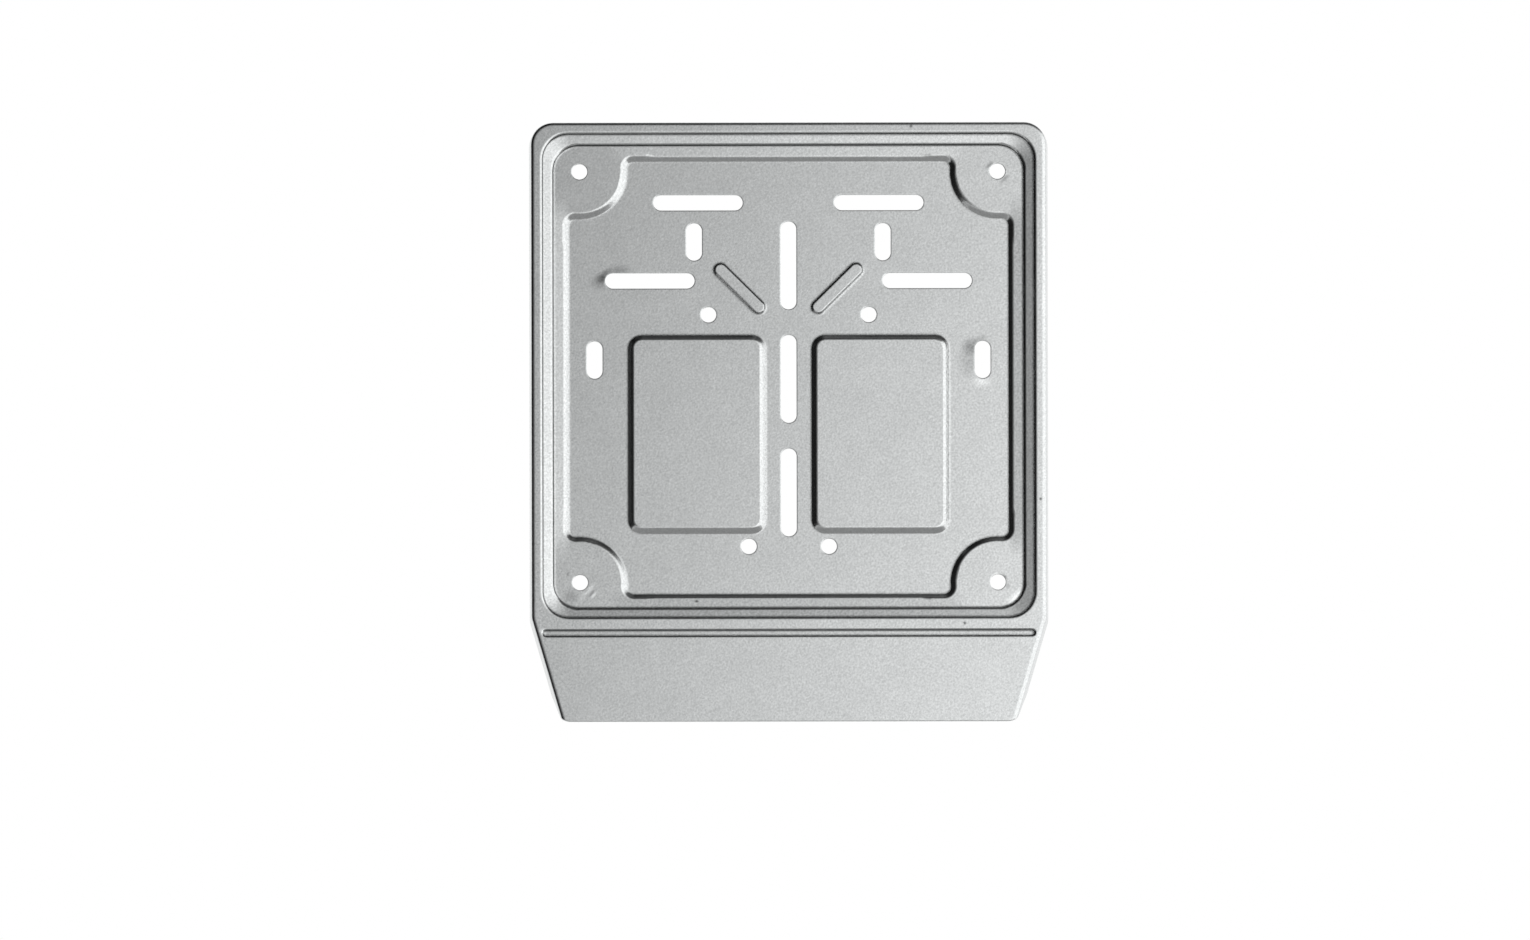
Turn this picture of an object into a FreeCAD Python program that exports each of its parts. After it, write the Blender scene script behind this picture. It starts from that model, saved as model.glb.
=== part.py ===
import FreeCAD, Part
import math
import os
import re
import Sketcher

# A number plate holder for a square motorcycle plate, pressed from one sheet of metal.
# X runs to the right and Z up as it is mounted, and the plate side faces -Y.
# The origin is on the seat that carries the plate, at the centre of the four plate screws.
# Heights are counted from the seat towards the plate side: the rim is above it, the field below.

# Driving sizes in millimetres and degrees: name, value, meaning.
# Bend radii are those on the plate side. Its hollow corners are sharp, and so is the back, apart from
# the inside of the lip's bend, whose radius follows from the sheet.
SIZES = [
    ("sheet", 0.8, "thickness of the sheet"),
    ("plate_side", 177, "side of the square plate"),
    ("plate_gap", 0.7, "gap from the plate's edge to the foot of the seat wall"),
    ("screw_inset", 9.25, "distance of the plate screws from the plate's edges"),
    ("round_hole", 6, "diameter of every round hole"),
    ("seat_wall", 1.4, "height of the wall round the seat"),
    ("seat_corner", 9.6, "corner radius at the foot of the seat wall"),
    ("step_draft", 15, "lean of the seat wall and the rim wall"),
    ("step_edge", 1.0, "bend at the top of the seat wall and the rim wall"),
    ("band_width", 3.6, "width of the sloping band between the two walls"),
    ("band_drop", 0.8, "fall of the band across its width"),
    ("rim_wall", 1.4, "height of the wall inside the rim"),
    ("rim_corner", 10.1, "corner radius at the top of the rim wall"),
    ("rim_width", 4.1, "width of the rim from its wall to its outer edge"),
    ("outer_corner", 8.4, "radius of the rim's outer corners"),
    ("lip_depth", 8, "depth of the turned-back lip, from the rim's face"),
    ("lip_draft", 5, "flare of the lip"),
    ("lip_bend", 1.5, "bend where the rim turns into the lip"),
    ("run_out_height", 12, "height over which the lip runs out at the flap's lower corners"),
    ("run_out_blend", 6, "radius where the lip starts to run out"),
    ("flap_length", 40, "length of the flap below the recess"),
    ("flap_slope", 16.2, "angle of the flap's sides from upright"),
    ("flap_corner", 4.5, "radius of the flap's lower corners"),
    ("shoulder_blend", 6, "radius that blends the shoulders"),
    ("seat_width", 3.9, "width of the seat between its wall and the field"),
    ("seat_fall", 0.4, "fall of the seat's straight sides across their width"),
    ("seat_fall_end", 54, "half length of each of these falling sides"),
    ("field_drop", 2.0, "depth of the field below the seat"),
    ("field_draft", 42, "lean of the walls of the field and the panels"),
    ("field_edge", 1.8, "bend at the top of the walls of the field and the panels"),
    ("field_blend", 4.4, "radius where the field's sides meet the corner pads"),
    ("corner_pad", 16.1, "radius of the seat left round each plate screw"),
    ("panel_width", 48.6, "width of each raised panel's flat top"),
    ("panel_height", 73, "height of each raised panel's flat top"),
    ("panel_corner", 3.5, "corner radius of the raised panels"),
    ("panel_out", 34.8, "distance of the raised panels from the centre line"),
    ("panel_low", 21.8, "distance of the raised panels below the centre"),
    ("bead_width", 5.4, "width of each slanting bead at its foot"),
    ("bead_rise", 1.0, "height of the beads above the field"),
    ("bead_draft", 35, "lean of the beads' sides"),
    ("bead_out", 25.7, "distance of a bead's upper end from the centre line"),
    ("bead_high", 41.6, "height of a bead's upper end above the centre"),
    ("bead_run", 14.4, "rise and run of a bead between its end centres"),
    ("groove_gap", 5.85, "distance of the groove below the recess"),
    ("groove_inset", 2.2, "distance of the groove's ends from the rim's outer edge"),
    ("groove_width", 3.2, "width of the groove at the rim's face"),
    ("groove_depth", 1.0, "depth of the groove"),
    ("groove_draft", 35, "lean of the groove's sides"),
    ("slot_width", 6, "width of every slot"),
    ("long_slot", 34, "length of the long slots"),
    ("short_slot", 14.5, "length of the short slots"),
    ("top_slot_out", 34.3, "distance of the upper level slots from the centre line"),
    ("top_slot_high", 67.6, "height of the upper level slots above the centre"),
    ("low_slot_out", 52.6, "distance of the lower level slots from the centre line"),
    ("low_slot_high", 37.5, "height of the lower level slots above the centre"),
    ("inner_slot_out", 35.8, "distance of the inner short slots from the centre line"),
    ("inner_slot_high", 52.5, "height of the inner short slots above the centre"),
    ("side_slot_out", 73.6, "distance of the outer short slots from the centre line"),
    ("side_slot_high", 7.0, "height of the outer short slots above the centre"),
    ("middle_slots", 3, "number of upright slots on the centre line"),
    ("middle_slot_low", 44.2, "distance of the lowest of them below the centre"),
    ("middle_slot_pitch", 43.8, "distance from one of them to the next"),
    ("upper_hole_out", 30.4, "distance of the upper round holes from the centre line"),
    ("upper_hole_high", 24.4, "height of the upper round holes above the centre"),
    ("lower_hole_out", 15.2, "distance of the lower round holes from the centre line"),
    ("lower_hole_low", 65, "distance of the lower round holes below the centre"),
]
ALIASES = {alias for alias, number, meaning in SIZES}

# Places that several features share, as expressions of the sizes.
SCREW = "(plate_side / 2 - screw_inset)"
SEAT_HALF = "(plate_side / 2 + plate_gap)"
FIELD_HALF = f"({SEAT_HALF} - seat_width)"
BAND_HALF = f"({SEAT_HALF} + seat_wall * tan(step_draft) + band_width)"
RECESS_HALF = f"({BAND_HALF} + rim_wall * tan(step_draft))"
OUTER_HALF = f"({RECESS_HALF} + rim_width)"
FLAP_BOTTOM = f"({RECESS_HALF} + flap_length)"
BAND_HEIGHT = "(seat_wall + band_drop)"
BAND_TILT = "(atan(band_drop / band_width) / 1deg)"
SEAT_TILT = "(atan(seat_fall / seat_width) / 1deg)"
RIM_HEIGHT = f"({BAND_HEIGHT} + rim_wall)"

# A tilted face is cut on to this share of its own fall, to pass under the wall that ends it.
TILT_REACH = 1.5
# Edges within this distance of a height count as lying at it.
SLACK = 0.001

doc = FreeCAD.newDocument("PlateHolder")
sizes = doc.addObject("Spreadsheet::Sheet", "Sizes")
for row, (alias, number, meaning) in enumerate(SIZES, start=1):
    sizes.set(f"A{row}", meaning)
    sizes.set(f"B{row}", str(number))
    sizes.setAlias(f"B{row}", alias)
doc.recompute()


def cells(text):
    """An expression with the sheet's name before each size."""
    return re.sub(r"[a-z]\w*", lambda word: "Sizes." + word[0] if word[0] in ALIASES else word[0], text)


def worth(text):
    """The number that an expression gives."""
    return float(sizes.evalExpression(cells(text)))


def origin_feature(body, role):
    """One of the body's own planes or axes."""
    return [feature for feature in body.Origin.OriginFeatures if feature.Role == role][0]


def new_sketch(body, name, height, plane="XZ_Plane"):
    """A sketch on an origin plane of the body, raised along the plane's normal."""
    sketch = body.newObject("Sketcher::SketchObject", name)
    sketch.AttachmentSupport = [(origin_feature(body, plane), "")]
    sketch.MapMode = "FlatFace"
    sketch.setExpression("AttachmentOffset.Base.z", cells(height))
    return sketch


def drive(sketch, kind, where, text):
    """A dimension whose value follows an expression."""
    index = sketch.addConstraint(Sketcher.Constraint(kind, *where, worth(text)))
    sketch.setExpression(f"Constraints[{index}]", cells(text))


def place(sketch, geometry, point, across, up):
    """The two dimensions that hold a point of the sketch."""
    drive(sketch, "DistanceX", (-1, 1, geometry, point), across)
    drive(sketch, "DistanceY", (-1, 1, geometry, point), up)


def make_tangent(sketch, first, second):
    """Join two curves smoothly at the ends that meet."""
    def ends(curve):
        return {1: sketch.Geometry[curve].StartPoint, 2: sketch.Geometry[curve].EndPoint}
    gaps = [(a.distanceToPoint(b), i, j)
            for i, a in ends(first).items() for j, b in ends(second).items()]
    gap, i, j = min(gaps)
    sketch.addConstraint(Sketcher.Constraint("Tangent", first, i, second, j))


def add_line(sketch, start, end):
    return sketch.addGeometry(Part.LineSegment(start, end), False)


def add_arc(sketch, centre, start, end):
    """An arc about a centre, anticlockwise from one point to another."""
    circle = Part.Circle(centre, FreeCAD.Vector(0, 0, 1), centre.distanceToPoint(start))
    first = circle.parameter(start)
    last = circle.parameter(end)
    if last < first:
        last += 2 * math.pi
    return sketch.addGeometry(Part.ArcOfCircle(circle, first, last), False)


def polygon(sketch, corners):
    """A closed outline from its corners (across, up, radius), anticlockwise; no radius is sharp."""
    sharp = [FreeCAD.Vector(worth(across), worth(up), 0) for across, up, radius in corners]
    starts = list(sharp)
    finishes = list(sharp)
    arcs = {}
    for index, (across, up, radius) in enumerate(corners):
        if radius is None:
            continue
        corner = sharp[index]
        back = (sharp[index - 1] - corner).normalize()
        ahead = (sharp[(index + 1) % len(sharp)] - corner).normalize()
        half_angle = back.getAngle(ahead) / 2
        centre = corner + (back + ahead).normalize() * (worth(radius) / math.sin(half_angle))
        reach = worth(radius) / math.tan(half_angle)
        starts[index] = corner + back * reach
        finishes[index] = corner + ahead * reach
        turns_left = ahead.cross(back).z > 0
        first, last = (starts, finishes) if turns_left else (finishes, starts)
        arcs[index] = add_arc(sketch, centre, first[index], last[index])
    lines = [add_line(sketch, finishes[index - 1], starts[index]) for index in range(len(corners))]
    for index, (across, up, radius) in enumerate(corners):
        before = lines[index]
        after = lines[(index + 1) % len(lines)]
        if radius is None:
            sketch.addConstraint(Sketcher.Constraint("Coincident", before, 2, after, 1))
            place(sketch, after, 1, across, up)
            continue
        make_tangent(sketch, before, arcs[index])
        make_tangent(sketch, arcs[index], after)
        drive(sketch, "Radius", (arcs[index],), radius)
        point = sketch.addGeometry(Part.Point(sharp[index]), True)
        sketch.addConstraint(Sketcher.Constraint("PointOnObject", point, 1, before))
        sketch.addConstraint(Sketcher.Constraint("PointOnObject", point, 1, after))
        place(sketch, point, 1, across, up)


def rectangle(sketch, centre, half_width, half_height, radius):
    """A rectangle with rounded corners about a centre (across, up)."""
    across, up = centre
    left = f"{across} - ({half_width})"
    right = f"{across} + ({half_width})"
    bottom = f"{up} - ({half_height})"
    top = f"{up} + ({half_height})"
    polygon(sketch, [(left, bottom, radius), (right, bottom, radius),
                     (right, top, radius), (left, top, radius)])


def obround(sketch, first, second, radius):
    """A slot outline about two end centres (across, up)."""
    near = FreeCAD.Vector(worth(first[0]), worth(first[1]), 0)
    far = FreeCAD.Vector(worth(second[0]), worth(second[1]), 0)
    along = (far - near).normalize()
    side = FreeCAD.Vector(-along.y, along.x, 0) * worth(radius)
    curves = [add_arc(sketch, far, far - side, far + side),
              add_line(sketch, far + side, near + side),
              add_arc(sketch, near, near + side, near - side),
              add_line(sketch, near - side, far - side)]
    for index in range(len(curves)):
        make_tangent(sketch, curves[index - 1], curves[index])
    place(sketch, curves[2], 3, *first)
    place(sketch, curves[0], 3, *second)
    drive(sketch, "Radius", (curves[0],), radius)


def upright_slot(sketch, across, up, length):
    reach = f"({length} - slot_width) / 2"
    obround(sketch, (across, f"{up} + {reach}"), (across, f"{up} - {reach}"), "slot_width / 2")


def level_slot(sketch, across, up, length):
    reach = f"({length} - slot_width) / 2"
    obround(sketch, (f"{across} - {reach}", up), (f"{across} + {reach}", up), "slot_width / 2")


def round_hole(sketch, across, up):
    centre = FreeCAD.Vector(worth(across), worth(up), 0)
    circle = Part.Circle(centre, FreeCAD.Vector(0, 0, 1), worth("round_hole / 2"))
    hole = sketch.addGeometry(circle, False)
    place(sketch, hole, 3, across, up)
    drive(sketch, "Radius", (hole,), "round_hole / 2")


def field_outline(sketch, half, pad_radius, blend):
    """A square whose corners are cut by arcs about the plate screws, with the joins blended."""
    side = worth(half)
    screw = worth(SCREW)
    pad = worth(pad_radius)
    round_off = worth(blend)
    blend_out = side - round_off
    blend_up = screw - math.sqrt((pad + round_off) ** 2 - (blend_out - screw) ** 2)
    pad_centre = FreeCAD.Vector(screw, screw, 0)
    low_centre = FreeCAD.Vector(blend_out, blend_up, 0)
    high_centre = FreeCAD.Vector(blend_up, blend_out, 0)
    low_join = pad_centre + (low_centre - pad_centre).normalize() * pad
    high_join = pad_centre + (high_centre - pad_centre).normalize() * pad
    corner_signs = [("", ""), ("-", ""), ("-", "-"), ("", "-")]
    quarters = []
    for quarter in range(len(corner_signs)):
        turn = FreeCAD.Rotation(FreeCAD.Vector(0, 0, 1), 90 * quarter).multVec
        straight = add_line(sketch, turn(FreeCAD.Vector(side, -blend_up, 0)),
                            turn(FreeCAD.Vector(side, blend_up, 0)))
        low = add_arc(sketch, turn(low_centre), turn(FreeCAD.Vector(side, blend_up, 0)), turn(low_join))
        middle = add_arc(sketch, turn(pad_centre), turn(high_join), turn(low_join))
        high = add_arc(sketch, turn(high_centre), turn(high_join),
                       turn(FreeCAD.Vector(blend_up, side, 0)))
        quarters.append((straight, low, middle, high))
    for quarter, (across_sign, up_sign) in enumerate(corner_signs):
        straight, low, middle, high = quarters[quarter]
        next_straight = quarters[(quarter + 1) % len(quarters)][0]
        for first, second in ((straight, low), (low, middle), (middle, high), (high, next_straight)):
            make_tangent(sketch, first, second)
        drive(sketch, "Radius", (low,), blend)
        drive(sketch, "Radius", (high,), blend)
        drive(sketch, "Radius", (middle,), pad_radius)
        place(sketch, middle, 3, across_sign + SCREW, up_sign + SCREW)
        direction, measure = (("Vertical", "DistanceX"), ("Horizontal", "DistanceY"))[quarter % 2]
        sketch.addConstraint(Sketcher.Constraint(direction, straight))
        drive(sketch, measure, (-1, 1, straight, 1), half if quarter < 2 else "-" + half)


def edges_between(feature, sketch, low, high):
    """The names of the edges inside a sketch's outline that lie wholly between two heights."""
    frame = sketch.Shape.BoundBox
    frame.enlarge(SLACK)
    names = []
    for number, edge in enumerate(feature.Shape.Edges, start=1):
        box = edge.BoundBox
        inside = (box.XMin > frame.XMin and box.XMax < frame.XMax
                  and box.ZMin > frame.ZMin and box.ZMax < frame.ZMax)
        if inside and -box.YMax > low and -box.YMin < high:
            names.append(f"Edge{number}")
    return names


def edges_at(feature, sketch, height):
    """The names of the edges inside a sketch's outline at one height."""
    return edges_between(feature, sketch, worth(height) - SLACK, worth(height) + SLACK)


def extrude(body, kind, sketch, name, length, taper, to_back):
    """A pad or a pocket whose walls lean, drawn towards the back or towards the plate side."""
    before = body.Tip.Shape.Volume if body.Tip else 0
    feature = body.newObject(kind, name)
    feature.Profile = sketch
    feature.Reversed = to_back == (kind == "PartDesign::Pad")
    feature.setExpression("Length", cells(length))
    feature.setExpression("TaperAngle", cells(taper))
    doc.recompute()
    if abs(feature.Shape.Volume - before) < 1:
        raise RuntimeError(name + " changed nothing")
    return feature


def bend(body, feature, edges, name, radius):
    """Round edges into a bend of the sheet."""
    fillet = body.newObject("PartDesign::Fillet", name)
    fillet.Base = (feature, edges)
    fillet.setExpression("Radius", cells(radius))
    doc.recompute()
    return fillet


def pressed_form(name, set_back, rounded):
    """A body whose front is one face of the pressed sheet, with its bends rounded or sharp."""
    body = doc.addObject("PartDesign::Body", name)

    def at(height):
        """A height of the plate side, as the set-back face has it."""
        return f"({height}) - ({set_back})"

    def spread(draft):
        """How far the outline of a leaning wall grows on the set-back face."""
        return f"({set_back}) * tan(45 - {draft} / 2)"

    def add_sketch(what, height):
        return new_sketch(body, f"{name}_{what}_outline", height)

    def soften(feature, edges, what, radius):
        """Round some edges, on the side whose bends are rounded."""
        return bend(body, feature, edges, f"{name}_{what}", radius) if rounded else feature

    # The rim's face with the lip round it, on down past the flap's lower edge.
    blank = add_sketch("blank", at(RIM_HEIGHT))
    less = spread("lip_draft")
    half = f"({OUTER_HALF} - {less})"
    bottom = f"({FLAP_BOTTOM} + 2 * run_out_height)"
    bottom_half = f"({half} - ({bottom} - {RECESS_HALF}) * tan(flap_slope))"
    corner = f"outer_corner - {less}"
    polygon(blank, [(f"-{bottom_half}", f"-{bottom}", "flap_corner"),
                    (bottom_half, f"-{bottom}", "flap_corner"),
                    (half, f"-{RECESS_HALF}", "shoulder_blend"), (half, half, corner),
                    (f"-{half}", half, corner), (f"-{half}", f"-{RECESS_HALF}", "shoulder_blend")])
    block = extrude(body, "PartDesign::Pad", blank, name + "_block", "lip_depth", "lip_draft", True)
    bend(body, block, edges_at(block, blank, at(RIM_HEIGHT)), name + "_lip_bend",
         f"lip_bend - ({set_back})")

    # The wall inside the rim. On the set-back face it meets the tilted band a little higher.
    rim_top = add_sketch("rim_wall", at(RIM_HEIGHT))
    half = f"{RECESS_HALF} + {spread('step_draft')}"
    rectangle(rim_top, ("0", "0"), half, half, f"rim_corner + {spread('step_draft')}")
    meeting = f"cos(step_draft + {BAND_TILT})"
    foot_out = f"({set_back}) * (cos({BAND_TILT}) - sin(step_draft)) / {meeting}"
    foot_down = f"({set_back}) * (cos(step_draft) - sin({BAND_TILT})) / {meeting}"
    extrude(body, "PartDesign::Pocket", rim_top, name + "_rim_wall",
            f"rim_wall + {foot_down} - ({set_back})", "-step_draft", True)

    # The sloping band, cut on past the top of the seat wall.
    band_top = add_sketch("band", f"{BAND_HEIGHT} - {foot_down}")
    half = f"{BAND_HALF} + {foot_out}"
    rectangle(band_top, ("0", "0"), half, half, f"rim_corner - rim_wall * tan(step_draft) + {foot_out}")
    extrude(body, "PartDesign::Pocket", band_top, name + "_band",
            f"{TILT_REACH} * band_drop", f"{BAND_TILT} - 90", True)

    # The seat and its wall, drawn round the wall's foot.
    seat = add_sketch("seat", at("0"))
    half = f"{SEAT_HALF} + {spread('step_draft')}"
    rectangle(seat, ("0", "0"), half, half, f"seat_corner + {spread('step_draft')}")
    recess = extrude(body, "PartDesign::Pocket", seat, name + "_seat", RIM_HEIGHT, "step_draft", False)
    seat_wall_top = edges_between(recess, band_top, worth(at("0")) + SLACK,
                                  worth(f"{BAND_HEIGHT} - {foot_down}") - SLACK)
    edge = soften(recess, seat_wall_top, "seat_edge", "step_edge")
    soften(edge, edges_at(edge, rim_top, at(RIM_HEIGHT)), "rim_edge", "step_edge")

    # The seat's straight sides, which fall a little towards the field.
    sides = add_sketch("seat_side", at("0"))
    foot = f"({SEAT_HALF} + {spread('(90 - ' + SEAT_TILT + ')')})"
    end = f"(seat_fall_end + {spread('(90 - ' + SEAT_TILT + ')')})"
    polygon(sides, [(f"-{foot}", f"-{end}", None), (f"-{end}", f"-{end}", None), (f"-{end}", f"-{foot}", None),
                    (end, f"-{foot}", None), (end, f"-{end}", None), (foot, f"-{end}", None),
                    (foot, end, None), (end, end, None), (end, foot, None),
                    (f"-{end}", foot, None), (f"-{end}", end, None), (f"-{foot}", end, None)])
    extrude(body, "PartDesign::Pocket", sides, name + "_seat_sides",
            f"{TILT_REACH} * seat_fall", f"{SEAT_TILT} - 90", True)

    # The sunken field, which leaves a pad of the seat round each plate screw.
    field = add_sketch("field", at("0"))
    more = spread("field_draft")
    field_outline(field, f"({FIELD_HALF} + {more})", f"corner_pad - {more}", f"field_blend + {more}")
    sunk = extrude(body, "PartDesign::Pocket", field, name + "_field", "field_drop", "-field_draft", True)
    field_wall_top = edges_between(sunk, field, worth(at("-field_drop / 2")), worth(at("0")) + SLACK)
    soften(sunk, field_wall_top, "field_edge", "field_edge")

    # The two panels that stand in the field, as high as the seat.
    panels = add_sketch("panel", at("-field_drop"))
    more = f"(field_drop * tan(field_draft) - {spread('field_draft')})"
    for side in ("", "-"):
        rectangle(panels, (side + "panel_out", "-panel_low"), f"panel_width / 2 + {more}",
                  f"panel_height / 2 + {more}", f"panel_corner + {more}")
    raised = extrude(body, "PartDesign::Pad", panels, name + "_panels", "field_drop", "-field_draft", False)
    soften(raised, edges_at(raised, panels, at("0")), "panel_edge", "field_edge")

    # The two slanting beads that stand in the field.
    beads = add_sketch("bead", at("-field_drop"))
    for side in ("", "-"):
        obround(beads, (side + "bead_out", "bead_high"),
                (f"{side}(bead_out - bead_run)", "bead_high - bead_run"),
                f"bead_width / 2 - {spread('bead_draft')}")
    extrude(body, "PartDesign::Pad", beads, name + "_beads", "bead_rise", "-bead_draft", False)

    # The groove across the root of the flap.
    groove = add_sketch("groove", at(RIM_HEIGHT))
    low = f"-({RECESS_HALF} + groove_gap)"
    reach = f"({OUTER_HALF} - groove_gap * tan(flap_slope) - groove_inset - groove_width / 2)"
    obround(groove, ("-" + reach, low), (reach, low), f"groove_width / 2 + {spread('groove_draft')}")
    extrude(body, "PartDesign::Pocket", groove, name + "_groove", "groove_depth", "-groove_draft", True)
    return body


def cut_through(body, sketch, name):
    """Cut a sketch's outline through the body, both ways from its plane."""
    before = body.Tip.Shape.Volume
    pocket = body.newObject("PartDesign::Pocket", name)
    pocket.Profile = sketch
    pocket.Type = "ThroughAll"
    pocket.Midplane = True
    doc.recompute()
    if before - pocket.Shape.Volume < 1:
        raise RuntimeError(name + " cut nothing")
    return pocket


def trim_flap(body):
    """Let the lip run out towards the flap's lower edge, and cut that edge round its corners."""
    lip_start = f"-({RIM_HEIGHT} - lip_bend)"
    lip_end = f"(lip_depth - {RIM_HEIGHT})"
    bottom = f"-{FLAP_BOTTOM}"
    below = f"-({FLAP_BOTTOM} + 3 * run_out_height)"
    run_out_top = f"-({FLAP_BOTTOM} - run_out_height)"
    side_view = new_sketch(body, "run_out_outline", "0", "YZ_Plane")
    polygon(side_view, [(lip_start, bottom, None), (lip_start, below, None),
                        (f"{lip_end} + lip_depth", below, None),
                        (f"{lip_end} + lip_depth", run_out_top, None),
                        (lip_end, run_out_top, "run_out_blend")])
    cut_through(body, side_view, "run_out")

    at_bottom = f"{OUTER_HALF} - flap_length * tan(flap_slope)"
    flare = "tan(lip_draft) / cos(flap_slope)"
    bottom_half = f"({at_bottom} + lip_bend * {flare})"
    top_half = f"({at_bottom} + run_out_height * tan(flap_slope) + lip_depth * {flare} + sheet)"
    beyond = f"({OUTER_HALF} + lip_depth)"
    front_view = new_sketch(body, "flap_edge_outline", "0")
    polygon(front_view, [("-" + beyond, below, None), (beyond, below, None),
                         (beyond, run_out_top, None), (top_half, run_out_top, None),
                         (bottom_half, bottom, "flap_corner"), ("-" + bottom_half, bottom, "flap_corner"),
                         ("-" + top_half, run_out_top, None), ("-" + beyond, run_out_top, None)])
    cut_through(body, front_view, "flap_edge")


def drill_plate_screws(body):
    """A hole through each corner pad for the screws that hold the plate."""
    screws = new_sketch(body, "plate_screw_outline", "0")
    for across_sign in ("", "-"):
        for up_sign in ("", "-"):
            round_hole(screws, across_sign + SCREW, up_sign + SCREW)
    cut_through(body, screws, "plate_screws")


def punch_side_cuts(body):
    """Slots and holes for the bracket behind, drawn on the right and mirrored."""
    right = new_sketch(body, "side_cut_outline", "0")
    level_slot(right, "top_slot_out", "top_slot_high", "long_slot")
    level_slot(right, "low_slot_out", "low_slot_high", "long_slot")
    upright_slot(right, "inner_slot_out", "inner_slot_high", "short_slot")
    upright_slot(right, "side_slot_out", "side_slot_high", "short_slot")
    round_hole(right, "upper_hole_out", "upper_hole_high")
    round_hole(right, "lower_hole_out", "-lower_hole_low")
    cuts = cut_through(body, right, "side_cuts")
    mirrored = body.newObject("PartDesign::Mirrored", "side_cuts_mirrored")
    mirrored.Originals = [cuts]
    mirrored.MirrorPlane = (origin_feature(body, "YZ_Plane"), [""])
    body.Tip = mirrored
    doc.recompute()


def punch_middle_slots(body):
    """A column of upright slots on the centre line."""
    lowest = new_sketch(body, "middle_slot_outline", "0")
    upright_slot(lowest, "0", "-middle_slot_low", "long_slot")
    slot = cut_through(body, lowest, "middle_slot")
    column = body.newObject("PartDesign::LinearPattern", "middle_slot_column")
    column.Originals = [slot]
    column.Direction = (origin_feature(body, "Z_Axis"), [""])
    column.setExpression("Occurrences", cells("middle_slots"))
    column.setExpression("Length", cells("middle_slot_pitch * (middle_slots - 1)"))
    body.Tip = column
    doc.recompute()


# The sheet is what lies between its plate side and the same form set back by its thickness.
holder = pressed_form("plate_holder", "0", rounded=True)
hollow = pressed_form("hollow", "sheet", rounded=False)
sheet_metal = holder.newObject("PartDesign::Boolean", "sheet_metal")
sheet_metal.Type = "Cut"
sheet_metal.addObjects([hollow])
doc.recompute()
trim_flap(holder)
drill_plate_screws(holder)
punch_side_cuts(holder)
punch_middle_slots(holder)
holder.Label = "plate_holder"
holder.Placement = FreeCAD.Placement()

failed = [thing.Name for thing in doc.Objects if {"Invalid", "Error"} & set(thing.State)]
if failed:
    raise RuntimeError("not built: " + ", ".join(failed))
if holder.Shape.isNull() or not holder.Shape.isValid() or len(holder.Shape.Solids) != 1:
    raise RuntimeError("the holder is not one valid solid")
os.makedirs("parts", exist_ok=True)
holder.Shape.exportStep("parts/plate_holder.step")
print(f"plate_holder: {holder.Shape.Volume:.1f} cubic mm")
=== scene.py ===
import math

import bmesh
import bpy
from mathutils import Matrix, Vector

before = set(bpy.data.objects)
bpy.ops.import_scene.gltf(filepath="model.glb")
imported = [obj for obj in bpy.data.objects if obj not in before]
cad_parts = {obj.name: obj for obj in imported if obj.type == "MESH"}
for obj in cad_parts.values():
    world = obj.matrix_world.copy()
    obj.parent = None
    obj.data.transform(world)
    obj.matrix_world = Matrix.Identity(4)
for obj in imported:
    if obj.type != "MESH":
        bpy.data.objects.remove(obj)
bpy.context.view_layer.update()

# The photograph's frame, and how the object lies in it: its centre line's column and the row of the
# seat's centre, counted from the upper left.
PHOTO_WIDTH_PX = 1530
PHOTO_HEIGHT_PX = 940
METRES_PER_PX = 0.3794e-3
CENTRE_LINE_PX = 789.3
SEAT_CENTRE_ROW_PX = 376.9
CAMERA_ELEVATION = math.radians(-10.5)
CAMERA_ROLL = math.radians(0.1)
CAMERA_DISTANCE = 0.6

# The satin silver paint, and how much of its brightness is left where it mirrors itself: painted shade,
# as the paint is darker in its own reflections, so the steep walls that mirror the sheet look darker.
PAINT_COLOUR = (0.67, 0.685, 0.685)
PAINT_ROUGHNESS = 0.21
SELF_MIRRORED_PAINTED_SHADE = 0.15

# The corners are softened in the light, in metres: at open edges, in hollow corners and on steep walls.
# How hollow a spot is comes from the share of its surroundings that is open within a short reach.
SOFT_EDGE = 0.0007
SOFT_HOLLOW = 0.0018
SOFT_WALL = 0.0003
SOFT_SAMPLES = 8
HOLLOW_REACH = 0.0015
HOLLOW_SAMPLES = 12
OPEN_TO_HOLLOW = (1, 0.9)

# Painted shade: the paint is darker in deep hollow corners. The open share at which the shade begins and
# ends, and the brightness at each.
SHADED_OPEN_SHARE = (0.85, 0.55)
SHADED_BRIGHTNESS = (1, 0.3)

# A wall counts as steep when it faces away from the plate side: the facing at which this begins and ends,
# and how far its normal is then stretched towards that side.
WALL_FACING = (0.9, 0.72)
WALL_STRETCH = 1.3

# The seat's straight sides fall a little towards the field, and in the light this fades out beside the
# corner pads. Both distances are from the holder's centre, across the side and along it. It applies only
# near the seat's own level, and where the sheet is nearly flat.
SEAT_TILT = 0.103
SEAT_SIDE = (0.0825, 0.0855)
SEAT_SIDE_FADE = (0.058, 0.072)
SEAT_LEVEL = (0.0006, 0.0004)
SEAT_FACING = (0.985, 0.993)

# The speckle and the mottling in the paint. The texture is turned off the sheet's plane, as a level slice
# through noise varies too little.
SPECKLE_SCALE = 1300
SPECKLE_SPREAD = 0.125
SPECKLE_DEPTH = 0.00003
MOTTLE_SCALE = 90
MOTTLE_SPREAD = 0.022
NOISE_DETAIL = 2
NOISE_LOW = 0.3
NOISE_HIGH = 0.7
TEXTURE_TURN = (0.6, 0.4, 0.2)
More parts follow.
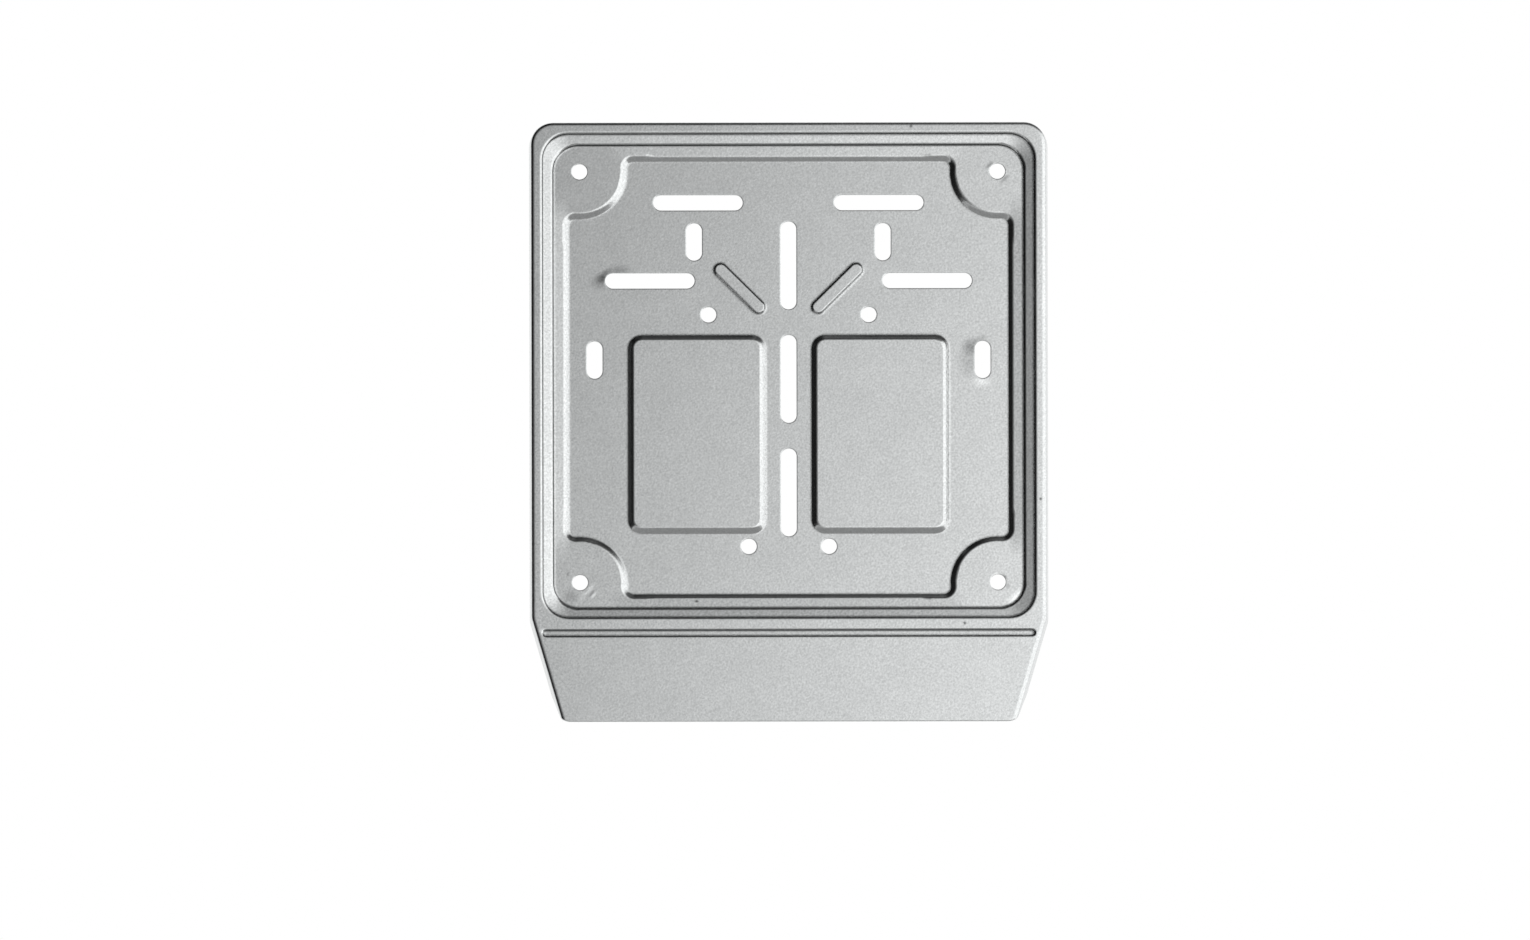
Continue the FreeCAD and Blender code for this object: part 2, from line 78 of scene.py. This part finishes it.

# Spots on the plate side, all in the paint's colour: a few dark specks in the paint, lighter and darker
# streaks round the lower left hole, and otherwise painted shade and painted highlights: the shading of
# small dents by the slots and the right-hand holes, a painted highlight at the groove's left end and one
# in the seat's lower right corner. For each: the column and the row in the photograph, its half length
# and half width there in pixels, how far it is turned from level in degrees, and how much it darkens the
# paint, or lightens it where that is below nought. All reach through the sheet's depth.
MARK_DEPTH = 0.1
SPECKS_AND_PAINTED_DENT_SHADING = (
    # Painted shade of a small dent by the left end of the left slot.
    (605, 275, 13, 8, 40, 0.6),
    (600, 281, 13, 12, 0, 0.3),
    (620, 269, 17, 8, 0, 0.35),
    # Painted shade and a painted highlight of a dent by the short slot on the right.
    (972, 346, 14, 13, 0, 0.45),
    (981, 340, 12, 7, 30, 0.25),
    (969, 362, 15, 22, 0, 0.22),
    (982, 381, 13, 8, 0, -0.35),
    # Lighter and darker streaks and spots round the lower left hole.
    (571, 596, 11, 10, 0, 0.25),
    (568, 574, 2, 5, -20, 0.3),
    (591, 588, 8, 3, 55, -0.45),
    (586, 593, 6, 3, 30, -0.3),
    (594, 595, 7, 2.2, 48, -0.5),
    (592, 593, 7, 2.2, 48, 0.35),
    (582, 598, 4, 6, 0, -0.15),
    # Painted shade of a dent by the upper right hole.
    (991, 165, 8, 3, 42, 0.45),
    (1006, 179, 8, 3, 42, 0.4),
    # Dark specks in the paint.
    (912, 128, 2.5, 2.5, 0, 0.8),
    (1041, 501, 2.5, 2.5, 0, 0.8),
    (697, 601, 3, 2, 0, 0.8),
    (965, 625, 2.5, 2.5, 0, 0.8),
    # A painted highlight at the groove's left end.
    (542, 632, 6, 4, 0, -0.4),
    # Painted shade and a painted highlight of a dent by the lower right hole.
    (1005, 577, 5, 2.5, -45, 0.5),
    (1008, 586, 2.5, 5, 0, 0.3),
    (996, 575, 5, 3, 25, -0.35),
    # A painted highlight in the seat's lower right corner.
    (1017, 598, 17, 8, 45, -0.5),
)

# The dome of soft light in front, open at the back: brightest to the right and a little below the
# camera, falling off evenly from there, and kept between a least and a most.
DOME_RADIUS = 0.7
DOME_BACK = 0.15
DOME_SEGMENTS = 64
DOME_RINGS = 32
LIGHT_AZIMUTH = math.radians(57)
LIGHT_ELEVATION = math.radians(-14)
LIGHT_STRENGTH = 2.45
LIGHT_FOCUS = 1.9
LIGHT_CUT = 0.15
LIGHT_LEAST = 0.01
LIGHT_MOST = 1.4

# A dimmer band of the dome, high up: the heights in the unit sphere where it sets in and ends, and the
# share of the light that it takes.
DIM_BAND_RISE = (0.6, 0.74)
DIM_BAND_FALL = (0.93, 0.99)
DIM_BAND_SHARE = 0.8

# The white backdrop: where it sets in from front to back in the unit sphere, and how far it draws back
# with height.
BACKDROP_FADE = (-0.1, 0.3)
BACKDROP_TOP = 0.22

# The pale floor, which fades into the backdrop with the distance from its centre, and the soft light
# on it.
FLOOR_LIGHT = 0.42
FLOOR_Z = -0.36
FLOOR_SIZE = 1.4
FLOOR_FADE = (0.38, 0.68)
FLOOR_COLOUR = (0.8, 0.8, 0.8, 1)


def node(tree, kind, **settings):
    """A node of a tree, with its properties set."""
    made = tree.nodes.new(kind)
    for name, value in settings.items():
        setattr(made, name, value)
    return made


def new_material(name):
    """A new material, its node tree with no more than the output in it, and the output's surface."""
    material = bpy.data.materials.new(name)
    material.use_nodes = True
    tree = material.node_tree
    tree.nodes.clear()
    output = node(tree, "ShaderNodeOutputMaterial")
    return material, tree, output.inputs["Surface"]


def math_node(tree, operation, first, second=None):
    """The result of an operation on one or two values, each a socket or a number."""
    made = node(tree, "ShaderNodeMath", operation=operation)
    for socket, value in zip(made.inputs, (first, second)):
        if isinstance(value, bpy.types.NodeSocket):
            tree.links.new(value, socket)
        elif value is not None:
            socket.default_value = value
    return made.outputs["Value"]


def fade(tree, value, low, high):
    """A smooth rise from 0 to 1 between two values."""
    made = node(tree, "ShaderNodeMapRange", interpolation_type="SMOOTHSTEP")
    made.inputs["From Min"].default_value = low
    made.inputs["From Max"].default_value = high
    tree.links.new(value, made.inputs["Value"])
    return made.outputs["Result"]


def size_of(tree, value):
    """A value without its sign."""
    return math_node(tree, "ABSOLUTE", value)


def map_range(tree, value, low, high, to_low, to_high, clamp=True):
    """A straight passage from one pair of values to another, held at its ends if it is clamped."""
    made = node(tree, "ShaderNodeMapRange", clamp=clamp)
    limits = {"From Min": low, "From Max": high, "To Min": to_low, "To Max": to_high}
    for name, number in limits.items():
        made.inputs[name].default_value = number
    tree.links.new(value, made.inputs["Value"])
    return made.outputs["Result"]


def separate(tree, vector):
    """The three parts of a vector, by name."""
    made = node(tree, "ShaderNodeSeparateXYZ")
    tree.links.new(vector, made.inputs["Vector"])
    return made.outputs


def combine(tree, *values):
    """A vector of three values, each a socket or a number."""
    made = node(tree, "ShaderNodeCombineXYZ")
    for socket, value in zip(made.inputs, values):
        if isinstance(value, bpy.types.NodeSocket):
            tree.links.new(value, socket)
        else:
            socket.default_value = value
    return made.outputs["Vector"]


def seat_lean(tree, across, along):
    """How far the seat's side leans inwards, from the two distances to the centre."""
    side = fade(tree, size_of(tree, across), *SEAT_SIDE)
    ended = fade(tree, size_of(tree, along), *SEAT_SIDE_FADE)
    lean = math_node(tree, "MULTIPLY", side, math_node(tree, "SUBTRACT", 1, ended))
    lean = math_node(tree, "MULTIPLY", lean, math_node(tree, "SIGN", across))
    return math_node(tree, "MULTIPLY", lean, -SEAT_TILT)


def open_share(tree):
    """How much of the surroundings within a short reach is open: less than 1 in hollow corners."""
    made = node(tree, "ShaderNodeAmbientOcclusion", samples=HOLLOW_SAMPLES, only_local=True)
    made.inputs["Distance"].default_value = HOLLOW_REACH
    return made.outputs["AO"]


def eased_normal(tree):
    """The shading normal: soft at the corners, even along the seat, and gentler on steep walls."""
    link = tree.links.new
    true = separate(tree, node(tree, "ShaderNodeNewGeometry").outputs["True Normal"])
    soft = node(tree, "ShaderNodeBevel", samples=SOFT_SAMPLES)
    flat_radius = map_range(tree, open_share(tree), *OPEN_TO_HOLLOW, SOFT_EDGE, SOFT_HOLLOW)
    radius = node(tree, "ShaderNodeMix")
    link(map_range(tree, size_of(tree, true["Y"]), *WALL_FACING, 0, 1), radius.inputs["Factor"])
    link(flat_radius, radius.inputs["A"])
    radius.inputs["B"].default_value = SOFT_WALL
    link(radius.outputs["Result"], soft.inputs["Radius"])
    facing = separate(tree, soft.outputs["Normal"])["Y"]

    spot = separate(tree, node(tree, "ShaderNodeTexCoord").outputs["Object"])
    seat = combine(tree, seat_lean(tree, spot["X"], spot["Z"]), -1, seat_lean(tree, spot["Z"], spot["X"]))
    level = map_range(tree, size_of(tree, spot["Y"]), *SEAT_LEVEL, 0, 1)
    on_seat = math_node(tree, "MULTIPLY", level, fade(tree, size_of(tree, facing), *SEAT_FACING))
    even = node(tree, "ShaderNodeMix", data_type="VECTOR")
    link(on_seat, even.inputs["Factor"])
    link(soft.outputs["Normal"], even.inputs["A"])
    link(seat, even.inputs["B"])

    stretch = map_range(tree, size_of(tree, facing), *WALL_FACING, 1, WALL_STRETCH)
    eased = node(tree, "ShaderNodeVectorMath", operation="MULTIPLY")
    link(even.outputs["Result"], eased.inputs[0])
    link(combine(tree, 1, stretch, 1), eased.inputs[1])
    unit = node(tree, "ShaderNodeVectorMath", operation="NORMALIZE")
    link(eased.outputs["Vector"], unit.inputs[0])
    return unit.outputs["Vector"]


def speck_or_painted_shading(tree, column_px, row_px, half_length_px, half_width_px, turn_degrees, darkening):
    """How much one spot changes the paint, fading out to its edge: a speck, or painted shade or a painted
    highlight.
    """
    across = (column_px - CENTRE_LINE_PX) * METRES_PER_PX
    up = (SEAT_CENTRE_ROW_PX - row_px) * METRES_PER_PX / math.cos(CAMERA_ELEVATION)
    place = node(tree, "ShaderNodeMapping", vector_type="TEXTURE")
    place.inputs["Location"].default_value = (across, 0, up)
    place.inputs["Rotation"].default_value = (0, math.radians(-turn_degrees), 0)
    place.inputs["Scale"].default_value = (
        half_length_px * METRES_PER_PX, MARK_DEPTH, half_width_px * METRES_PER_PX)
    tree.links.new(node(tree, "ShaderNodeTexCoord").outputs["Object"], place.inputs["Vector"])
    round_it = node(tree, "ShaderNodeTexGradient", gradient_type="SPHERICAL")
    tree.links.new(place.outputs["Vector"], round_it.inputs["Vector"])
    eased = fade(tree, round_it.outputs["Fac"], 0, 1)
    return math_node(tree, "MULTIPLY", eased, darkening)


def satin_silver():
    """Silver paint over sheet metal: fine speckle, faint mottling, a few specks, painted shade and
    highlights of small dents, painted shade in hollow corners and in its own reflections, and a satin
    gloss.
    """
    material, tree, surface = new_material("satin_silver_paint")
    link = tree.links.new
    shader = node(tree, "ShaderNodeBsdfPrincipled")
    shader.inputs["Metallic"].default_value = 1
    shader.inputs["Roughness"].default_value = PAINT_ROUGHNESS
    place = node(tree, "ShaderNodeMapping")
    place.inputs["Rotation"].default_value = TEXTURE_TURN
    link(node(tree, "ShaderNodeTexCoord").outputs["Object"], place.inputs["Vector"])

    def noise(scale):
        made = node(tree, "ShaderNodeTexNoise")
        made.inputs["Scale"].default_value = scale
        made.inputs["Detail"].default_value = NOISE_DETAIL
        link(place.outputs["Vector"], made.inputs["Vector"])
        return made.outputs["Fac"]

    def around_one(value, spread):
        """A noise as a factor that varies about 1: most of it lies between its low and its high value."""
        return map_range(tree, value, NOISE_LOW, NOISE_HIGH, 1 - spread, 1 + spread, clamp=False)

    speckle = noise(SPECKLE_SCALE)
    mottle = around_one(noise(MOTTLE_SCALE), MOTTLE_SPREAD)
    shade = math_node(tree, "MULTIPLY", around_one(speckle, SPECKLE_SPREAD), mottle)
    true = separate(tree, node(tree, "ShaderNodeNewGeometry").outputs["True Normal"])
    plate_side = math_node(tree, "LESS_THAN", true["Y"], 0)
    # Specks, and painted shade and painted highlights of small dents and corners, on the plate side only.
    for mark in SPECKS_AND_PAINTED_DENT_SHADING:
        darkening = math_node(tree, "MULTIPLY", plate_side, speck_or_painted_shading(tree, *mark))
        shade = math_node(tree, "SUBTRACT", shade, darkening)
    # Painted shade in hollow corners: the paint is darker where little of its surroundings is open.
    hollow = map_range(tree, open_share(tree), *SHADED_OPEN_SHARE, *SHADED_BRIGHTNESS)
    shade = math_node(tree, "MULTIPLY", shade, hollow)
    # Painted shade: the paint is darker where a glossy ray sees it, so walls that mirror the sheet look
    # darker.
    path = node(tree, "ShaderNodeLightPath")
    mirrored = math_node(tree, "MULTIPLY", path.outputs["Is Glossy Ray"], SELF_MIRRORED_PAINTED_SHADE - 1)
    shade = math_node(tree, "MULTIPLY", shade, math_node(tree, "ADD", mirrored, 1))
    tint = node(tree, "ShaderNodeVectorMath", operation="SCALE")
    tint.inputs[0].default_value = PAINT_COLOUR
    link(shade, tint.inputs["Scale"])
    link(tint.outputs["Vector"], shader.inputs["Base Color"])

    bump = node(tree, "ShaderNodeBump")
    bump.inputs["Distance"].default_value = SPECKLE_DEPTH
    link(speckle, bump.inputs["Height"])
    link(eased_normal(tree), bump.inputs["Normal"])
    link(bump.outputs["Normal"], shader.inputs["Normal"])
    link(shader.outputs["BSDF"], surface)
    return material


def pale_floor():
    """A plain pale floor that fades into the white backdrop."""
    material, tree, surface = new_material("pale_floor")
    link = tree.links.new
    matt = node(tree, "ShaderNodeBsdfDiffuse")
    matt.inputs["Color"].default_value = FLOOR_COLOUR
    white = node(tree, "ShaderNodeEmission")
    path = node(tree, "ShaderNodeLightPath")
    seen = math_node(tree, "MAXIMUM", path.outputs["Is Camera Ray"], path.outputs["Is Glossy Ray"])
    seen = math_node(tree, "MAXIMUM", seen, path.outputs["Is Transmission Ray"])
    away = node(tree, "ShaderNodeVectorMath", operation="LENGTH")
    link(node(tree, "ShaderNodeTexCoord").outputs["Object"], away.inputs[0])
    share = math_node(tree, "MULTIPLY", seen, fade(tree, away.outputs["Value"], *FLOOR_FADE))
    mix = node(tree, "ShaderNodeMixShader")
    link(share, mix.inputs["Fac"])
    link(matt.outputs["BSDF"], mix.inputs[1])
    link(white.outputs["Emission"], mix.inputs[2])
    link(mix.outputs["Shader"], surface)
    return material


def backdrop(tree, direction):
    """How white the surroundings are in a direction: not at all in front, and wholly behind."""
    height = math_node(tree, "MULTIPLY", direction["Z"], BACKDROP_TOP)
    return fade(tree, math_node(tree, "SUBTRACT", direction["Y"], height), *BACKDROP_FADE)


def make_world():
    """A white backdrop, seen also in reflections, and dim elsewhere."""
    world = bpy.data.worlds.new("studio")
    bpy.context.scene.world = world
    world.use_nodes = True
    tree = world.node_tree
    tree.nodes.clear()
    link = tree.links.new
    path = node(tree, "ShaderNodeLightPath")
    dim = node(tree, "ShaderNodeBackground")
    dim.inputs["Color"].default_value = (1, 1, 1, 1)
    matt_light = math_node(tree, "MULTIPLY", path.outputs["Is Diffuse Ray"], FLOOR_LIGHT)
    link(math_node(tree, "ADD", matt_light, LIGHT_LEAST), dim.inputs["Strength"])
    white = node(tree, "ShaderNodeBackground")
    white.inputs["Color"].default_value = (1, 1, 1, 1)
    bounced = math_node(tree, "MAXIMUM", path.outputs["Is Glossy Ray"],
                        path.outputs["Is Transmission Ray"])
    direction = separate(tree, node(tree, "ShaderNodeTexCoord").outputs["Generated"])
    mirrored = math_node(tree, "MULTIPLY", bounced, backdrop(tree, direction))
    shown = math_node(tree, "MAXIMUM", path.outputs["Is Camera Ray"], mirrored)
    mix = node(tree, "ShaderNodeMixShader")
    output = node(tree, "ShaderNodeOutputWorld")
    link(shown, mix.inputs["Fac"])
    link(dim.outputs["Background"], mix.inputs[1])
    link(white.outputs["Background"], mix.inputs[2])
    link(mix.outputs["Shader"], output.inputs["Surface"])


def dome_light():
    """Light that fades evenly from its brightest direction to almost nothing on the far side."""
    material, tree, surface = new_material("dome_light")
    link = tree.links.new
    outward = node(tree, "ShaderNodeVectorMath", operation="NORMALIZE")
    link(node(tree, "ShaderNodeTexCoord").outputs["Object"], outward.inputs[0])
    aim = node(tree, "ShaderNodeVectorMath", operation="DOT_PRODUCT")
    aim.inputs[1].default_value = (math.sin(LIGHT_AZIMUTH) * math.cos(LIGHT_ELEVATION),
                                   -math.cos(LIGHT_AZIMUTH) * math.cos(LIGHT_ELEVATION),
                                   math.sin(LIGHT_ELEVATION))
    link(outward.outputs["Vector"], aim.inputs[0])
    level = math_node(tree, "SUBTRACT", aim.outputs["Value"], 1)
    level = math_node(tree, "EXPONENT", math_node(tree, "MULTIPLY", level, LIGHT_FOCUS))
    level = math_node(tree, "SUBTRACT", math_node(tree, "MULTIPLY", level, LIGHT_STRENGTH), LIGHT_CUT)
    direction = separate(tree, outward.outputs["Vector"])
    band = math_node(tree, "SUBTRACT", fade(tree, direction["Z"], *DIM_BAND_RISE),
                     fade(tree, direction["Z"], *DIM_BAND_FALL))
    left = math_node(tree, "SUBTRACT", 1, math_node(tree, "MULTIPLY", band, DIM_BAND_SHARE))
    level = math_node(tree, "MULTIPLY", level, left)
    level = math_node(tree, "MINIMUM", level, LIGHT_MOST)
    level = math_node(tree, "MAXIMUM", level, backdrop(tree, direction))
    glow = node(tree, "ShaderNodeEmission")
    link(math_node(tree, "MAXIMUM", level, LIGHT_LEAST), glow.inputs["Strength"])
    link(glow.outputs["Emission"], surface)
    return material


def make_dome():
    """The dome of light, open at the back and not seen by the camera."""
    bpy.ops.mesh.primitive_uv_sphere_add(
        segments=DOME_SEGMENTS, ring_count=DOME_RINGS, radius=DOME_RADIUS)
    dome = bpy.context.object
    dome.name = "light_dome"
    shell = bmesh.new()
    shell.from_mesh(dome.data)
    back = [face for face in shell.faces if face.calc_center_median().y > DOME_BACK * DOME_RADIUS]
    bmesh.ops.delete(shell, geom=back, context="FACES")
    shell.to_mesh(dome.data)
    shell.free()
    dome.data.materials.append(dome_light())
    dome.visible_camera = False
    dome.visible_diffuse = False


def make_floor():
    """The floor, well below the holder."""
    bpy.ops.mesh.primitive_plane_add(size=FLOOR_SIZE, location=(0, 0, FLOOR_Z))
    floor = bpy.context.object
    floor.name = "floor"
    floor.data.materials.append(pale_floor())


def make_camera():
    """A long-lens view from a little below, framed as the photograph is."""
    data = bpy.data.cameras.new("camera")
    data.type = "ORTHO"
    data.ortho_scale = PHOTO_WIDTH_PX * METRES_PER_PX
    camera = bpy.data.objects.new("camera", data)
    bpy.context.scene.collection.objects.link(camera)
    forward = Vector((0, math.cos(CAMERA_ELEVATION), -math.sin(CAMERA_ELEVATION)))
    up = Vector((0, math.sin(CAMERA_ELEVATION), math.cos(CAMERA_ELEVATION)))
    across = (PHOTO_WIDTH_PX / 2 - CENTRE_LINE_PX) * METRES_PER_PX
    below = (PHOTO_HEIGHT_PX / 2 - SEAT_CENTRE_ROW_PX) * METRES_PER_PX
    camera.location = Vector((across, 0, 0)) - up * below - forward * CAMERA_DISTANCE
    camera.rotation_euler = (math.radians(90) - CAMERA_ELEVATION, CAMERA_ROLL, 0)
    bpy.context.scene.camera = camera


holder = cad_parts["plate_holder"]
holder.data.materials.clear()
holder.data.materials.append(satin_silver())
make_world()
make_floor()
make_dome()
make_camera()
bpy.context.scene.view_settings.view_transform = "Standard"
